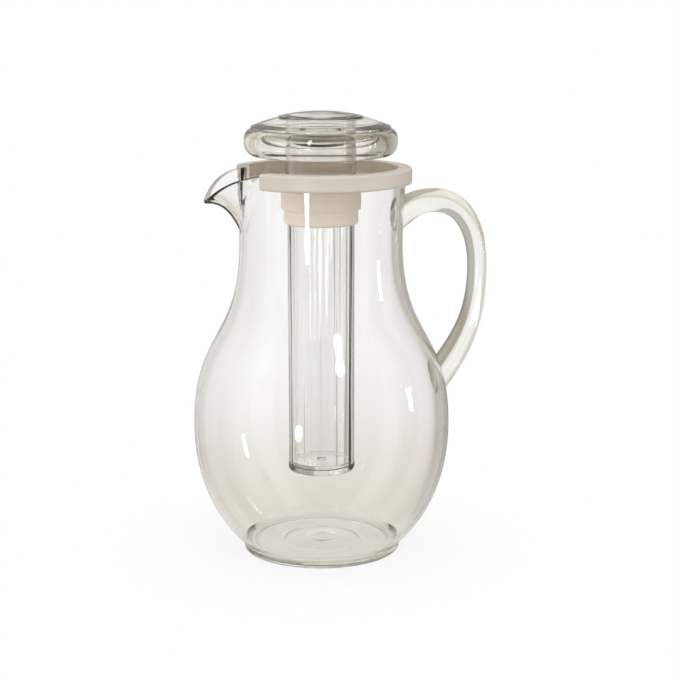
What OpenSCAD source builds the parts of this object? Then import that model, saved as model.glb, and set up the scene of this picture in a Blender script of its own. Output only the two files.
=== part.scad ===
// Clear plastic pitcher with an ice tube that hangs from its lid ring.
// Origin: on the jug's axis, in the plane it rests on. +Z up, the spout points
// to -X and the handle to +X. All lengths are in millimetres.

/* [Pitcher shell] */
// Outer radius of the belly
belly_r = 78.5; // [75:0.5:82]
// Height of the widest part of the belly
belly_z = 78.7; // [74:0.1:84]
// Outer radius of the narrowest part of the neck
neck_r = 49.4; // [48.4:0.1:50.4]
// Height of the narrowest part of the neck
neck_z = 192.4; // [186:0.2:198]
// Outer radius of the rim that the lid ring sits on
rim_r = 51; // [50:0.1:52]
// Height of the rim
rim_z = 234.6; // [230:0.2:240]
// Wall thickness of the blown shell
wall = 2.5; // [2:0.1:3]

/* [Foot] */
// Outer radius of the foot where it rests
foot_r = 48; // [45:0.5:50]
// Outer radius of the foot's upper edge, where the belly starts
foot_top_r = 49.3; // [47:0.1:51]
// Height of the foot
foot_h = 5.1; // [4.5:0.1:6]
// Inner radius of the ring that touches the table
rest_r = 42; // [36:0.5:44]
// How far the base is recessed inside the resting ring
recess_h = 1; // [0.6:0.1:1.4]
// Radius of the pushed-up middle of the base
push_r = 24.4; // [18:0.2:30]
// Height of the pushed-up middle above the table
push_h = 2.6; // [1.6:0.1:4]
// Radius of the round mark in the middle of the base
mark_r = 8.4; // [5:0.2:12]

/* [Beak] */
// Reach of the beak's tip from the jug's axis
tip_d = 71.4; // [68:0.2:75]
// Half width of the beak's tip
tip_w = 2.6; // [2.2:0.1:3.4]
// How far the tip hangs below the rim
tip_drop = 15.6; // [13:0.2:18]
// Thickness of the lip at the tip
lip_t = 2.2; // [1.8:0.1:3]
// Half angle of the beak at the rim, in degrees
beak_half_angle = 31.5; // [28:0.5:32.5]
// Distance of the beak's shoulder from the jug's axis
shoulder_d = 59.6; // [57:0.2:62]
// Half width that the beak's shoulder is drawn out to
shoulder_w = 23.2; // [20:0.2:25]
// Height on the neck at which the beak's keel starts
keel_z = 198; // [194:0.5:204]

/* [Handle] */
// Height of the bar's upper end, inside the neck's outer line
root_z = 201; // [198:0.5:205]
// Distance of the top of the handle's arch from the axis
arch_d = 71; // [68:0.5:74]
// Height of the middle of the handle's arch
arch_z = 214.2; // [211:0.2:217]
// Distance of the middle of the grip from the axis
grip_d = 100.5; // [97:0.5:106]
// Height at which the grip stands furthest out
grip_z = 172; // [166:0.5:178]
// Height of the bar's lower end, inside the belly's outer line
low_z = 95; // [90:0.5:100]
// Thickness of the handle's bar at its upper root
root_t = 17; // [14:0.2:19]
// Thickness of the bar along the arch
arch_t = 14.6; // [12:0.2:16]
// Thickness of the bar at the grip
grip_t = 11.7; // [10:0.1:13.5]
// Thickness of the bar at its lower root
low_t = 17.6; // [14:0.2:20]
// Width of the bar at its two roots
root_w = 18; // [15:0.5:20]
// Width of the bar at the grip
grip_w = 14.6; // [12:0.2:17]

/* [Lid ring] */
// Outer radius of the lid ring's skirt
ring_r = 54.8; // [54:0.1:57]
// Depth of the skirt below the rim
skirt_h = 7.6; // [6:0.2:9]
// Thickness of the deck that rests on the rim
deck_t = 2.1; // [1.6:0.1:3]
// Radius of the round opening in the deck
mouth_r = 46.3; // [45:0.1:46.8]
// Depth of the recess inside the ring, deck to floor
recess_d = 8.4; // [6.5:0.1:10]
// Thickness of the recess floor
floor_t = 2; // [1.6:0.1:2.6]
// Half angle of the gap left open at the beak, in degrees
gap_half_angle = 34.5; // [34:0.5:38]
// How near the axis the pouring notch in the floor reaches
notch_r = 31; // [28:0.5:38]
// Rounding of the ring's outer edges
ring_round = 1.6; // [1:0.1:2]

/* [Sleeve] */
// Outer radius of the sleeve's upper step
step_r = 24.2; // [24:0.1:26]
// Outer radius of the sleeve's lower step
guide_r = 22.5; // [22.2:0.1:23.6]
// Height of the edge between the two steps
step_z = 211.8; // [209:0.2:215]
// Thickness of the ledge, behind that edge, that the ice tube hangs on
ledge_t = 2; // [1.6:0.1:2.6]
// Height of the sleeve's lower end
sleeve_z = 202.7; // [199:0.1:206]
// How far the sleeve stands above the recess floor
sleeve_up = 1.5; // [1:0.1:3]
// Chamfer on the sleeve's lower end
sleeve_chamfer = 1; // [0.6:0.1:1.2]

/* [Ice tube] */
// Outer radius of the ice tube
tube_r = 20.3; // [19.6:0.1:20.6]
// Wall thickness of the ice tube
tube_t = 2; // [1.6:0.1:2.4]
// Height of the tube's lower end above the table
tube_z = 49.4; // [42:0.2:60]
// Outer radius of the flange that hangs in the sleeve
flange_r = 21.9; // [21.6:0.1:22]
// Thickness of that flange
flange_t = 2.2; // [1.6:0.1:3]
// Thickness of the disc that closes the tube
base_t = 4; // [3:0.2:5]
// Outer radius of that disc
base_r = 20.6; // [20.5:0.1:21]
// Rounding of the disc's lower edge
base_round = 1.4; // [0.8:0.1:1.8]
// Depth of the disc's spigot inside the tube
spigot_h = 2; // [1.5:0.1:4]
// Radius of the nub in the middle of the disc
nub_r = 2.6; // [2:0.1:4]
// Height of that nub
nub_h = 1.2; // [0.8:0.1:2]

/* [Cap] */
// Height of the cap's crown above the rim
crown_h = 35.4; // [33:0.2:38]
// How far the upper rim lies below the crown
crown_drop = 8.9; // [7.6:0.1:10]
// Radius of the raised disc on top
disc_r = 25.2; // [23:0.2:28]
// Height of the raised disc's step
disc_step = 0.6; // [0.4:0.1:0.8]
// Wall thickness of the cap's two shells
cap_t = 2; // [1.6:0.1:2.2]
// Thickness of the cap's upper rim at its edge
edge_t = 1.6; // [1.2:0.1:2]
// Radius of the bowl at its widest
bowl_r = 46.2; // [45:0.2:48]
// How far the crown's rim is drawn in from the bowl's widest ring
rim_in = 4.2; // [3.2:0.1:5]
// How far the crown's skirt, which plugs into the bowl, is drawn in from its rim
skirt_in = 4.5; // [4:0.1:5.5]
// How deep that skirt reaches into the bowl
plug_h = 6.2; // [4:0.2:8]
// Thickness of the bowl's side at its widest ring
side_t = 6.8; // [5:0.2:7.4]
// How far the edge of the flat bottom is drawn in from the widest ring
bottom_in = 7.2; // [6:0.2:9]
// Height of the bowl, from its bottom to the land under the crown's rim
bowl_h = 16; // [15:0.2:17]
// Outer radius of the hub that plugs into the sleeve
hub_r = 21.2; // [21:0.1:21.4]

/* [Hidden] */
$fn = 96;

// Clearances between pieces that slide or slip together
rim_gap = 0.4;
guide_gap = 0.3;
hub_gap = 0.2;
spigot_gap = 0.1;
// Overrun of cuts past the faces they open
over = 5;
// Small rounding on the pitcher's rim
rim_soft = 0.7;
// Radius of the inner corner between floor and wall of the recess
recess_round = 1.2;
// Radius of the inner corner between bottom and side of the bowl
bowl_round = 2.5;

// Shape of the shell between its named radii
foot_angle = 47;
foot_pull_share = 0.311;
belly_low_share = 0.47;
belly_high_share = 0.518;
neck_low_share = 0.546;
neck_high_share = 0.4;
rim_low_share = 0.35;
// Shape of the beak
drop_power = 3.3;
keel_power = 2.7;
vee_power = 1.5;
shoulder_angle = 60;
// Shape of the handle between its named points
root_out_share = 0.42;
root_up_share = 0.62;
arch_back_share = 0.45;
arch_on_share = 0.64;
grip_up_share = 0.6;
grip_down_share = 0.44;
low_out_share = 0.72;
low_up_share = 0.36;
// Shape of the bowl
bowl_waist_share = 0.53;
bowl_top_share = 0.58;
bowl_side_share = 0.61;
bowl_low_share = 0.54;
bowl_foot_share = 0.61;

// Steps along curves
shell_steps = 14;
beak_steps = 14;
beak_sides = 8;
bar_steps = 12;
bar_sides = 20;
soft_steps = 5;

rim_in_r = rim_r - wall;
floor_z = recess_h + wall;
ring_top = rim_z + deck_t;
skirt_z = rim_z - skirt_h;
ring_in_r = rim_r + rim_gap;
inner_wall_r = rim_in_r - guide_gap;
recess_z = ring_top - recess_d;
sleeve_top = recess_z + sleeve_up;
upper_bore_r = flange_r + guide_gap;
lower_bore_r = tube_r + guide_gap;
ledge_z = step_z + ledge_t;
flange_z = ledge_z;
hub_z = flange_z + flange_t;
crown_z = rim_z + crown_h;
cap_rim_z = crown_z - crown_drop;
land_z = cap_rim_z - edge_t;
bowl_z = land_z - bowl_h;
cap_r = bowl_r - rim_in;
plug_r = cap_r - skirt_in;
bottom_r = bowl_r - bottom_in;
hub_in_r = hub_r - cap_t;

function bez(p, t) =
    p[0] * pow(1 - t, 3) + 3 * p[1] * t * pow(1 - t, 2)
    + 3 * p[2] * t * t * (1 - t) + p[3] * pow(t, 3);
function bez_dir(p, t) =
    let (d = (p[1] - p[0]) * pow(1 - t, 2) + 2 * (p[2] - p[1]) * t * (1 - t) + (p[3] - p[2]) * t * t)
    d / norm(d);
// Points of a curve, moved to its left by a distance
function bez_off(p, off, n) =
    [for (i = [0:n]) let (d = bez_dir(p, i / n)) bez(p, i / n) + off * [-d[1], d[0]]];
function arc(c, r, a0, a1, n) =
    [for (i = [0:n]) let (a = a0 + (a1 - a0) * i / n) c + r * [cos(a), sin(a)]];
function smooth(x) = x * x * (3 - 2 * x);
function mix(a, b, x) = a + (b - a) * x;

// The shell's outer line in three curves: foot to belly, belly to neck, neck to rim
foot_rise = belly_z - foot_h;
neck_rise = neck_z - belly_z;
rim_rise = rim_z - neck_z;
low_curve = [
    [foot_top_r, foot_h],
    [foot_top_r, foot_h] + foot_pull_share * foot_rise * [sin(foot_angle), cos(foot_angle)],
    [belly_r, belly_z - belly_low_share * foot_rise],
    [belly_r, belly_z]];
high_curve = [
    [belly_r, belly_z],
    [belly_r, belly_z + belly_high_share * neck_rise],
    [neck_r, neck_z - neck_low_share * neck_rise],
    [neck_r, neck_z]];
neck_curve = [
    [neck_r, neck_z],
    [neck_r, neck_z + neck_high_share * rim_rise],
    [rim_r, rim_z - rim_low_share * rim_rise],
    [rim_r, rim_z]];
function shell_line(off) = concat(
    bez_off(low_curve, off, shell_steps),
    [for (i = [1:shell_steps]) bez_off(high_curve, off, shell_steps)[i]],
    [for (i = [1:soft_steps]) bez_off(neck_curve, off, soft_steps)[i]]);

// Filled outside of the jug, which the shell and the handle's roots share
module shell_outside() {
    line = shell_line(0);
    rotate_extrude()
        polygon(concat(
            [[0, push_h], [mark_r, push_h], [push_r, recess_h], [rest_r - recess_h, recess_h]],
            [[rest_r, 0], [foot_r, 0]],
            [for (i = [0:len(line) - 2]) line[i]],
            arc([rim_r - rim_soft, rim_z - rim_soft], rim_soft, 0, 90, soft_steps),
            [[0, rim_z]]));
}

// The space inside, up through the mouth
module shell_inside() {
    line = shell_line(wall);
    rotate_extrude()
        polygon(concat(
            [[0, push_h + wall], [mark_r, push_h + wall], [push_r, floor_z]],
            [[foot_top_r - 2 * wall, floor_z]],
            line,
            [[rim_in_r, rim_z + over], [0, rim_z + over]]));
}

// The beak: a vee-shaped channel whose rim leaves the jug's rim and turns down
function beak_plan(off) = [
    (rim_r - off) * [cos(beak_half_angle), sin(beak_half_angle)],
    (rim_r - off) * [cos(beak_half_angle), sin(beak_half_angle)],
    [shoulder_d, shoulder_w] - off * [cos(shoulder_angle), sin(shoulder_angle)],
    [tip_d - off, tip_w - off / 2]];
function beak_top(t) = rim_z - tip_drop * pow(t, drop_power);
function keel(d, off) =
    let (d0 = neck_r - off, d1 = tip_d - off / 2)
    let (s = min(1, max(0, (d - d0) / (d1 - d0))))
    mix(keel_z + off, rim_z - tip_drop - lip_t + off, 1 - pow(1 - s, keel_power));
function beak_ring(t, off, lift) =
    let (p = bez(beak_plan(off), t), top = beak_top(t), low = min(keel(p[0], off), top - lip_t + off))
    concat(
        [for (i = [-beak_sides:beak_sides]) let (s = i / beak_sides)
            [-p[0], p[1] * s, mix(low, top, pow(abs(s), vee_power))]],
        [[-p[0], p[1], top + lift], [-p[0], -p[1], top + lift]]);

// A solid through rings of points, each ring with the same count
module loft(rings) {
    n = len(rings[0]);
    last = (len(rings) - 1) * n;
    polyhedron(
        points = [for (r = rings) for (p = r) p],
        faces = concat(
            [for (k = [0:len(rings) - 2]) for (i = [0:n - 1]) let (j = (i + 1) % n, a = k * n, b = a + n)
                for (f = [[a + i, a + j, b + j], [a + i, b + j, b + i]]) f],
            [[for (i = [0:n - 1]) n - 1 - i], [for (i = [0:n - 1]) last + i]]));
}

module beak_outside() {
    loft([for (k = [0:beak_steps]) let (r = beak_ring(k / beak_steps, 0, 0))
        [for (i = [0:2 * beak_sides]) r[i]]]);
}

module beak_inside() {
    loft([for (k = [0:beak_steps]) beak_ring(k / beak_steps, wall, over)]);
}

module pitcher_body() {
    color([0.9, 0.9, 0.86, 0.35])
        difference() {
            union() {
                shell_outside();
                beak_outside();
            }
            shell_inside();
            beak_inside();
        }
}

// The handle's middle line, from inside the neck's wall round to inside the belly's
root_d = neck_r - 3 * wall;
low_d = belly_r - 4 * wall;
arch_run = arch_d - root_d;
arch_fall = arch_z - grip_z;
grip_run = grip_d - arch_d;
grip_fall = grip_z - low_z;
low_run = grip_d - low_d;
arch_rise = arch_z - root_z;
root_curve = [
    [root_d, root_z],
    [root_d + root_out_share * arch_run, root_z + root_up_share * arch_rise],
    [arch_d - arch_back_share * arch_run, arch_z],
    [arch_d, arch_z]];
arch_curve = [
    [arch_d, arch_z],
    [arch_d + arch_on_share * grip_run, arch_z],
    [grip_d, grip_z + grip_up_share * arch_fall],
    [grip_d, grip_z]];
grip_curve = [
    [grip_d, grip_z],
    [grip_d, grip_z - grip_down_share * grip_fall],
    [low_d + low_out_share * low_run, low_z + low_up_share * grip_fall],
    [low_d, low_z]];
function bar_ring(p, d, t, w) =
    [for (i = [0:bar_sides - 1]) let (a = 360 * i / bar_sides, q = t / 2 * cos(a))
        [p[0] - d[1] * q, w / 2 * sin(a), p[1] + d[0] * q]];
function bar_rings(c, t0, t1, w0, w1, first) =
    [for (k = [first:bar_steps]) let (u = k / bar_steps, s = smooth(u))
        bar_ring(bez(c, u), bez_dir(c, u), mix(t0, t1, s), mix(w0, w1, s))];

module handle() {
    arch_w = (root_w + grip_w) / 2;
    color([0.88, 0.87, 0.82, 0.4])
        difference() {
            loft(concat(
                bar_rings(root_curve, root_t, arch_t, root_w, arch_w, 0),
                bar_rings(arch_curve, arch_t, grip_t, arch_w, grip_w, 1),
                bar_rings(grip_curve, grip_t, low_t, grip_w, root_w, 1)));
            shell_outside();
        }
}

// A channel over the rim, a recess with a floor inside it, and the stepped sleeve
module lid_ring() {
    color([0.84, 0.81, 0.77])
        difference() {
            rotate_extrude()
                polygon(concat(
                    [[inner_wall_r, rim_z], [ring_in_r, rim_z], [ring_in_r, skirt_z]],
                    arc([ring_r - ring_round, skirt_z + ring_round], ring_round, -90, 0, soft_steps),
                    arc([ring_r - ring_round, ring_top - ring_round], ring_round, 0, 90, soft_steps),
                    [[mouth_r, ring_top]],
                    arc([mouth_r - recess_round, recess_z + recess_round], recess_round, 0, -90, soft_steps),
                    [[step_r, recess_z], [step_r, sleeve_top], [upper_bore_r, sleeve_top]],
                    [[upper_bore_r, ledge_z], [lower_bore_r, ledge_z], [lower_bore_r, sleeve_z]],
                    [[guide_r - sleeve_chamfer, sleeve_z], [guide_r, sleeve_z + sleeve_chamfer]],
                    [[guide_r, step_z], [step_r, step_z], [step_r, recess_z - floor_t]],
                    [[inner_wall_r, recess_z - floor_t]]));
            pour_gap();
        }
}

// The wedge left open in front of the beak
module pour_gap() {
    reach = ring_r + over;
    low = min(recess_z - floor_t, skirt_z) - over;
    translate([0, 0, low])
        linear_extrude(ring_top + over - low)
            difference() {
                polygon([
                    [0, 0],
                    [-reach, reach * tan(gap_half_angle)],
                    [-reach, -reach * tan(gap_half_angle)]]);
                circle(notch_r);
            }
}

module ice_tube() {
    color([0.92, 0.92, 0.9, 0.35])
        rotate_extrude()
            polygon([
                [tube_r - tube_t, tube_z + base_t],
                [tube_r, tube_z + base_t],
                [tube_r, flange_z],
                [flange_r, flange_z],
                [flange_r, flange_z + flange_t],
                [tube_r - tube_t, flange_z + flange_t]]);
}

module tube_base() {
    spigot_r = tube_r - tube_t - spigot_gap;
    top_z = tube_z + base_t + spigot_h;
    color([0.92, 0.92, 0.9, 0.35])
        rotate_extrude()
            polygon(concat(
                [[0, tube_z]],
                arc([base_r - base_round, tube_z + base_round], base_round, -90, 0, soft_steps),
                [[base_r, tube_z + base_t], [spigot_r, tube_z + base_t], [spigot_r, top_z]],
                [[nub_r, top_z], [nub_r, top_z + nub_h], [0, top_z + nub_h]]));
}

// Crown of the cap: part of a large ball, with a disc raised in its middle, a skirt
// that plugs into the bowl, and the hub
dome_sag = crown_drop - disc_step;
dome_r = (cap_r * cap_r + dome_sag * dome_sag) / (2 * dome_sag);
function dome_z(r, down) =
    crown_z - disc_step - down - dome_r + sqrt(pow(dome_r, 2) - r * r);
function dome_line(r0, r1, down, n) =
    [for (i = [0:n]) let (r = mix(r0, r1, i / n)) [r, dome_z(r, down)]];

module cap_top() {
    plug_in_r = plug_r - cap_t;
    plug_z = land_z - plug_h;
    foot_z = hub_z + flange_t;
    color([0.8, 0.79, 0.75, 0.4])
        rotate_extrude()
            polygon(concat(
                dome_line(0, disc_r, -disc_step, shell_steps),
                dome_line(disc_r, cap_r, 0, shell_steps),
                [[cap_r, land_z], [plug_r, land_z], [plug_r, plug_z], [plug_in_r, plug_z]],
                dome_line(plug_in_r, hub_r, cap_t, soft_steps),
                [[hub_r, foot_z], [flange_r, foot_z], [flange_r, hub_z], [hub_in_r, hub_z]],
                dome_line(hub_in_r, 0, cap_t, soft_steps)));
}

// Bowl of the cap: a land under the crown's rim, the widest ring, and a flat bottom
// with a hole for the hub
waist_z = bowl_z + bowl_waist_share * bowl_h;
bowl_line = concat(
    bez_off([
        [cap_r, land_z],
        [mix(cap_r, bowl_r, bowl_top_share), land_z],
        [bowl_r, mix(waist_z, land_z, bowl_side_share)],
        [bowl_r, waist_z]], 0, soft_steps),
    [for (i = [1:soft_steps]) bez_off([
        [bowl_r, waist_z],
        [bowl_r, mix(waist_z, bowl_z, bowl_low_share)],
        [mix(bottom_r, bowl_r, bowl_foot_share), bowl_z],
        [bottom_r, bowl_z]], 0, soft_steps)[i]]);

module cap_bowl() {
    mouth = plug_r + hub_gap;
    hole = hub_r + hub_gap;
    side = bowl_r - side_t;
    bottom = bowl_z + cap_t;
    color([0.8, 0.79, 0.75, 0.4])
        rotate_extrude()
            polygon(concat(
                [[mouth, land_z]],
                bowl_line,
                [[hole, bowl_z], [hole, bottom]],
                arc([side - bowl_round, bottom + bowl_round], bowl_round, -90, 0, soft_steps),
                [[side, land_z - cap_t], [mouth, land_z - cap_t]]));
}

pitcher_body();
handle();
lid_ring();
ice_tube();
tube_base();
cap_top();
cap_bowl();
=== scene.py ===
# %% [markdown]
# # A clear pitcher with an ice tube
# This notebook dresses a fixed CAD frame of a plastic pitcher for a studio
# picture. The jug, its bar handle, the tube and the hollow cap are all clear,
# so nearly everything that is seen comes from how light bends, bounces and
# fades in the plastic. Smooth, closed walls of true thickness matter more here
# than any painted colour. We work in metres, in the frame of the CAD model:
# +Z is up, the beak points to -X and the handle to +X.

# %% Load the frame
import math

import bmesh
import bpy
import numpy as np
from mathutils import Euler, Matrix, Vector


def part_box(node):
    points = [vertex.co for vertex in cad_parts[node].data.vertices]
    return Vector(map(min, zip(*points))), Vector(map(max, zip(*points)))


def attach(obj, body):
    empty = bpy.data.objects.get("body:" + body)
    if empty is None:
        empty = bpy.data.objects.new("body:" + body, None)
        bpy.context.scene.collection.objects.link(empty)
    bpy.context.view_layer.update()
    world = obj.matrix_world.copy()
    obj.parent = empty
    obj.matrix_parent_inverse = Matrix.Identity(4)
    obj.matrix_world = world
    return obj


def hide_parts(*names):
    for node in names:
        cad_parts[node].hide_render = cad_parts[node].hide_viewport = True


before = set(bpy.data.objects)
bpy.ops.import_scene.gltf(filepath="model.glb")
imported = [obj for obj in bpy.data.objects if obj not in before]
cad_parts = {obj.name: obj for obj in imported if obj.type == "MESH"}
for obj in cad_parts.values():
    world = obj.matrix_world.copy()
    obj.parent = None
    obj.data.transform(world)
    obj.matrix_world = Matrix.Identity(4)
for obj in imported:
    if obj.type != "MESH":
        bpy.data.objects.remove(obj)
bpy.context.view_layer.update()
print("CAD nodes:", sorted(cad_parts))

# %% [markdown]
# ## Sizes
# The frame already knows how large each piece is, so the main sizes are read
# from the boxes of the CAD nodes. What a box can't tell, such as a wall or the
# radius of the neck, is given by name in millimetres.

# %% Sizes read from the frame and named in millimetres
MM = 0.001
jug_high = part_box("pitcher_body")[1]
ring_low, ring_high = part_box("lid_ring")
tube_low, tube_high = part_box("ice_tube")
base_low, base_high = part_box("tube_base")
top_low, top_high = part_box("cap_top")
bowl_low, bowl_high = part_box("cap_bowl")

rim_z = jug_high.z
belly_r = jug_high.y
belly_z = 78.7 * MM
neck_r = 49.4 * MM
neck_z = 192.4 * MM
rim_r = 51.0 * MM
wall = 2.5 * MM
foot_r = 48.0 * MM
foot_top_r = 49.3 * MM
foot_h = 5.1 * MM
rest_r = 42.0 * MM
recess_h = 1.0 * MM
push_r = 24.4 * MM
push_h = 2.6 * MM
mark_r = 8.4 * MM
print("rim at", round(rim_z / MM, 1), "mm, belly radius", round(belly_r / MM, 1), "mm")


# %% [markdown]
# ## Camera
# The photograph was taken from a little above the lid, with a long lens, and
# the beak is turned some degrees towards the lens. Focal length, distance and
# height come from fitting the ellipses of foot, lid ring and cap. The small
# turn puts the jug left of the middle, as in the photograph, without any shift.

# %% Camera
PHOTO_SIZE = 680
FOCAL_PIXELS = 1707.7
SENSOR = 36.0
camera_distance = 1.0249
camera_height = 0.3436
camera_azimuth = math.radians(-15)
camera_pitch = math.radians(11.75)
camera_turn = math.radians(-0.64)


def add_object(name, data):
    obj = bpy.data.objects.new(name, data)
    bpy.context.scene.collection.objects.link(obj)
    return obj


def make_camera():
    data = bpy.data.cameras.new("photo_camera")
    data.sensor_width = SENSOR
    data.lens = FOCAL_PIXELS / PHOTO_SIZE * SENSOR
    data.dof.use_dof = False
    obj = add_object("photo_camera", data)
    obj.location = (
        camera_distance * math.sin(camera_azimuth),
        -camera_distance * math.cos(camera_azimuth),
        camera_height,
    )
    obj.rotation_euler = Euler((math.pi / 2 - camera_pitch, 0, camera_azimuth + camera_turn))
    bpy.context.scene.camera = obj
    print("lens", round(data.lens, 1), "mm")


make_camera()

# %% [markdown]
# ## Node helpers
# Materials and Geometry Nodes trees are built from code. One small function
# adds a node, sets its plain inputs and links the rest, so each tree below
# reads like a list of steps. The next three do arithmetic, map a value from one
# range to another and mix colours, and hand back the socket that holds the
# result. The last one starts an empty material.


# %% Helpers that add nodes
def add_node(tree, kind, inputs=None, **settings):
    node = tree.nodes.new(kind)
    for name, value in settings.items():
        setattr(node, name, value)
    for key, value in (inputs or {}).items():
        socket = node.inputs[key]
        if isinstance(value, bpy.types.NodeSocket):
            tree.links.new(value, socket)
        else:
            socket.default_value = value
    return node


def math_step(tree, operation, first, second=0.0):
    return add_node(tree, "ShaderNodeMath", {0: first, 1: second}, operation=operation).outputs[0]


def ranged(tree, value, start, end, low=0.0, high=1.0, ease="SMOOTHSTEP"):
    return add_node(tree, "ShaderNodeMapRange", {
        "Value": value, "From Min": start, "From Max": end, "To Min": low, "To Max": high},
        interpolation_type=ease).outputs[0]


def mix_color(tree, share, first, second, blend="MIX"):
    """A colour mix; its inputs 6 and 7 and its output 2 are the ones for colours."""
    return add_node(tree, "ShaderNodeMix", {0: share, 6: first, 7: second},
                    data_type="RGBA", blend_type=blend).outputs[2]


def blank_material(name):
    material = bpy.data.materials.new(name)
    material.use_nodes = True
    material.node_tree.nodes.clear()
    return material, material.node_tree


# %% [markdown]
# ## World, lamps and floor
# Clear plastic shows what lies behind it. A photographer puts a white screen
# behind the jug and leaves the rest of the room grey, so a ray that goes nearly
# straight through finds white, and a ray that a thick wall bends aside finds
# grey. This is what draws the dark lines along every wall. The picture is taken
# from several sides, so each has its own screen here, all made by one small
# group of nodes that tells how near a direction is to the middle of a screen.
# A screen is given by its middle, in degrees from +X, and its brightness.

# %% White screens behind the jug
SCREENS = [(78, 1.0), (91, 1.0), (111, 0.74), (135, 1.0), (180, 1.0), (315, 1.0)]
SCREEN_HALF = math.radians(13)
SOFT_INSIDE, SOFT_OUTSIDE = math.radians(2), math.radians(3)
SCREEN_EDGE_SHARE = 0.9
ROOM_GREY, GREY_END = 0.52, math.radians(30)
ROOM_DARK, DARK_START = 0.23, math.radians(60)


def screen_group():
    tree = bpy.data.node_groups.new("white_screens", "ShaderNodeTree")
    tree.interface.new_socket("Direction", in_out="INPUT", socket_type="NodeSocketVector")
    tree.interface.new_socket("Brightness", in_out="OUTPUT", socket_type="NodeSocketFloat")
    given = add_node(tree, "NodeGroupInput")
    flat = add_node(tree, "ShaderNodeVectorMath", {0: given.outputs[0], 1: (1, 1, 0)}, operation="MULTIPLY")
    level = add_node(tree, "ShaderNodeVectorMath", {0: flat.outputs[0]}, operation="NORMALIZE")
    brightest = ROOM_DARK
    for degrees, brightness in SCREENS:
        angle = math.radians(degrees)
        facing = add_node(tree, "ShaderNodeVectorMath", {
            0: level.outputs[0], 1: (math.cos(angle), math.sin(angle), 0)}, operation="DOT_PRODUCT")
        apart = math_step(tree, "ARCCOSINE", facing.outputs["Value"])
        room = ranged(tree, apart, GREY_END, DARK_START, ROOM_GREY, ROOM_DARK)
        edge = ranged(tree, apart, SCREEN_HALF - SOFT_INSIDE, SCREEN_HALF + SOFT_OUTSIDE, brightness, 0.0)
        fall = ranged(tree, apart, 0.0, SCREEN_HALF, 1.0, SCREEN_EDGE_SHARE, "LINEAR")
        near = math_step(tree, "MAXIMUM", room, math_step(tree, "MULTIPLY", edge, fall))
        brightest = math_step(tree, "MAXIMUM", near, brightest)
    add_node(tree, "NodeGroupOutput", {0: brightest})
    print(len(SCREENS), "screens round the jug")
    return tree


white_screens = screen_group()

# %% [markdown]
# The camera itself sees pure white all round, as in the photograph. Reflections
# and soft light come from a grey room that is brighter overhead. What is seen
# through the plastic is white at eye level and turns to the cream of a table
# further down, which is where the warm tint of the jug's lower half comes from.
# Lamps can't be sampled through bent plastic, so the light that reaches the
# sleeve inside the neck comes from the room alone and is raised to make up.

# %% Brightness and colours of the room
STUDIO_LOW, LOW_Z = 0.5, -0.2
STUDIO_SKY, SKY_Z = 1.0, 0.9
SIDE_SHARE = 0.28
WITHIN_GAIN = 2.9
WARM_GREY = (1.0, 0.9, 0.76, 1)
WARM_WHITE = (1.0, 0.96, 0.9, 1)
CREAM = (0.78, 0.74, 0.66, 1)
PALE_CREAM = (0.92, 0.9, 0.86, 1)
WHITE = (1, 1, 1, 1)
TABLE_TINTS = ((-12, -19, CREAM), (-20, -27, PALE_CREAM))


# %% World
def room_brightness(tree, split):
    """The grey room: brighter overhead and on the side of the beak."""
    height = ranged(tree, split.outputs["Z"], LOW_Z, SKY_Z, STUDIO_LOW, STUDIO_SKY, "LINEAR")
    side = ranged(tree, split.outputs["X"], -1.0, 1.0, 1 + SIDE_SHARE, 1 - SIDE_SHARE, "LINEAR")
    return math_step(tree, "MULTIPLY", height, side)


def table_tint(tree, split):
    """White at eye level; each pair of angles below it blends to the next cream."""
    tint = WHITE
    for start, end, cream in TABLE_TINTS:
        low = ranged(tree, split.outputs["Z"], math.sin(math.radians(start)), math.sin(math.radians(end)))
        tint = mix_color(tree, low, tint, cream)
    return tint


def make_world():
    world = bpy.data.worlds.new("studio")
    bpy.context.scene.world = world
    world.use_nodes = True
    tree = world.node_tree
    tree.nodes.clear()
    direction = add_node(tree, "ShaderNodeTexCoord").outputs["Generated"]
    split = add_node(tree, "ShaderNodeSeparateXYZ", {0: direction})
    room = room_brightness(tree, split)
    behind = add_node(tree, "ShaderNodeGroup", {0: direction}, node_tree=white_screens).outputs[0]
    warm = mix_color(tree, behind, WARM_GREY, WHITE)
    tint = mix_color(tree, 1.0, warm, table_tint(tree, split), "MULTIPLY")
    path = add_node(tree, "ShaderNodeLightPath")
    passing = path.outputs["Is Transmission Ray"]
    scattered = math_step(tree, "GREATER_THAN", path.outputs["Diffuse Depth"], 0.5)
    through = math_step(tree, "MULTIPLY", passing, math_step(tree, "SUBTRACT", 1.0, scattered))
    within = math_step(tree, "MULTIPLY", passing, scattered)
    gain = ranged(tree, within, 0.0, 1.0, 1.0, WITHIN_GAIN, "LINEAR")
    room = math_step(tree, "MULTIPLY", room, gain)
    strength = add_node(tree, "ShaderNodeMix", {0: through, 2: room, 3: behind}).outputs[0]
    strength = add_node(tree, "ShaderNodeMix", {0: path.outputs["Is Camera Ray"], 2: strength, 3: 1.0})
    mirrored = mix_color(tree, path.outputs["Is Glossy Ray"], WHITE, WARM_WHITE)
    color = mix_color(tree, through, mirrored, tint)
    light = add_node(tree, "ShaderNodeBackground", {"Color": color, "Strength": strength.outputs[0]})
    add_node(tree, "ShaderNodeOutputWorld", {"Surface": light.outputs[0]})
    print("world with", len(tree.nodes), "nodes")


make_world()

# %% [markdown]
# Two small lamps stand low at the sides, and the plastic mirrors them as the
# bright streaks and spots of the photograph. A larger lamp overhead lights the
# ivory ring and gives the soft shadow. It is left out of reflections, because
# the photograph shows none of it.

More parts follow.
